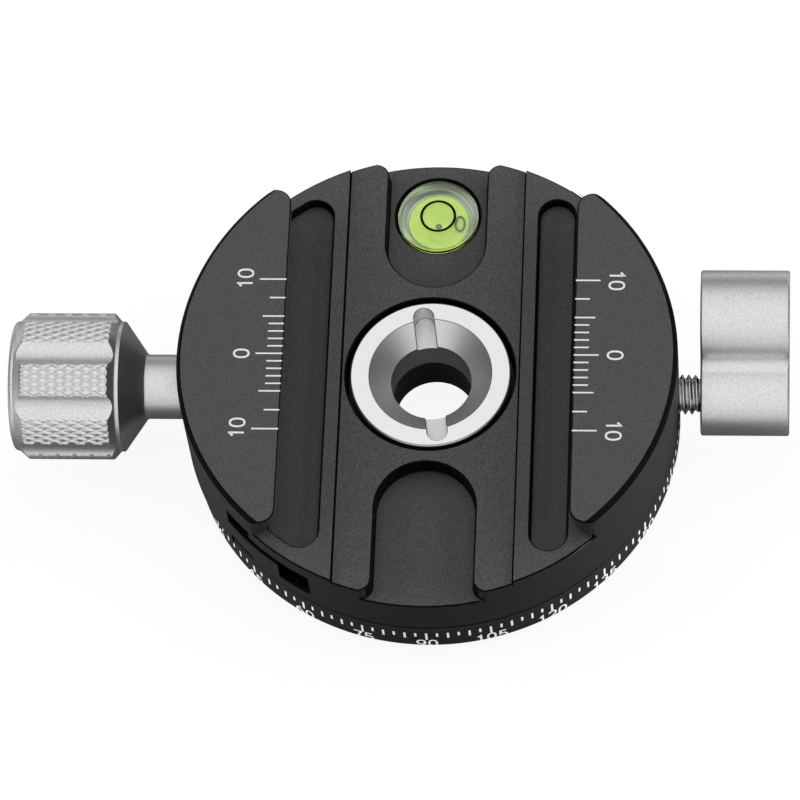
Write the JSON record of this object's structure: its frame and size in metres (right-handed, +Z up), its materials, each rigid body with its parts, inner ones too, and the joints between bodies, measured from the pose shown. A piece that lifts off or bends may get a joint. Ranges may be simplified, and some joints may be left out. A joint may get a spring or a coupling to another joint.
{
  "type": "panning clamp",
  "caption": "Round panning clamp for dovetail camera plates: screw-driven moving jaw, bubble level and graduated base with a lock knob.",
  "frame": {"origin": "on the surface the base stands on, under the middle of the reach from knob to knob; the pan axis is 3.8 mm to +X of it", "axes": "+Z up along the pan axis; X along both knob axes, clamp knob at -X, lock knob at +X; Y along the plate channel"},
  "size_m": [0.093, 0.0592, 0.021],
  "materials": {
    "black_anodised": "matte black anodised",
    "satin_silver": "satin, knurled lands on the clamp knob",
    "bright_steel": "turned and polished",
    "plain_steel": "plain",
    "brass": "turned",
    "white_plastic": "moulded",
    "black_rubber": "plain",
    "clear_acrylic": "clear",
    "level_fluid": "yellow-green liquid with a bubble"
  },
  "bodies": {
    "base": {"base_plate": "black_anodised", "centre_nut": "bright_steel", "glide_washer": "white_plastic", "damping_ring": "black_rubber", "anti_twist_screw_front": "plain_steel", "anti_twist_screw_back": "plain_steel"},
    "pan_body": {"clamp_body": "black_anodised", "level_vial": "clear_acrylic", "level_fluid": "level_fluid", "level_plug": "white_plastic", "jaw_spring_front": "plain_steel", "jaw_spring_back": "plain_steel"},
    "jaw": {"moving_jaw": "black_anodised", "guide_pin_front": "plain_steel", "guide_pin_back": "plain_steel", "knob_washer": "brass"},
    "clamp_knob_and_screw": {"clamp_knob": "satin_silver", "clamp_screw": "plain_steel", "screw_retaining_ring": "plain_steel", "knob_grub_screw": "plain_steel"},
    "brake": {"brake_pad": "brass"},
    "lock_knob_and_screw": {"lock_knob": "satin_silver", "lock_screw": "plain_steel", "lock_knob_pin": "plain_steel"}
  },
  "joints": [
    {"name": "pan", "type": "hinge", "parent": "base", "child": "pan_body", "pos_m": [0.00376, 0, 0], "axis": [0, 0, 1], "continuous": true},
    {"name": "jaw_slide", "type": "slide", "parent": "pan_body", "child": "jaw", "axis": [1, 0, 0], "range_m": [-0.0034, 0.002], "deforming": ["jaw_spring_front", "jaw_spring_back"]},
    {"name": "clamp_knob_turn", "type": "hinge", "parent": "jaw", "child": "clamp_knob_and_screw", "pos_m": [-0.04054, 0, 0.0111], "axis": [1, 0, 0], "range_deg": [-1755, 1035]},
    {"name": "brake_slide", "type": "slide", "parent": "pan_body", "child": "brake", "axis": [-1, 0, 0], "range_m": [-0.00036, 0.00013]},
    {"name": "lock_knob_turn", "type": "hinge", "parent": "brake", "child": "lock_knob_and_screw", "pos_m": [0.04126, 0, 0.00985], "axis": [-1, 0, 0], "range_deg": [-165, 60]}
  ],
  "couplings": [
    {"joint": "clamp_knob_turn", "follows": "jaw_slide", "rad_per_m": 8976},
    {"joint": "lock_knob_turn", "follows": "brake_slide", "rad_per_m": 7854}
  ]
}
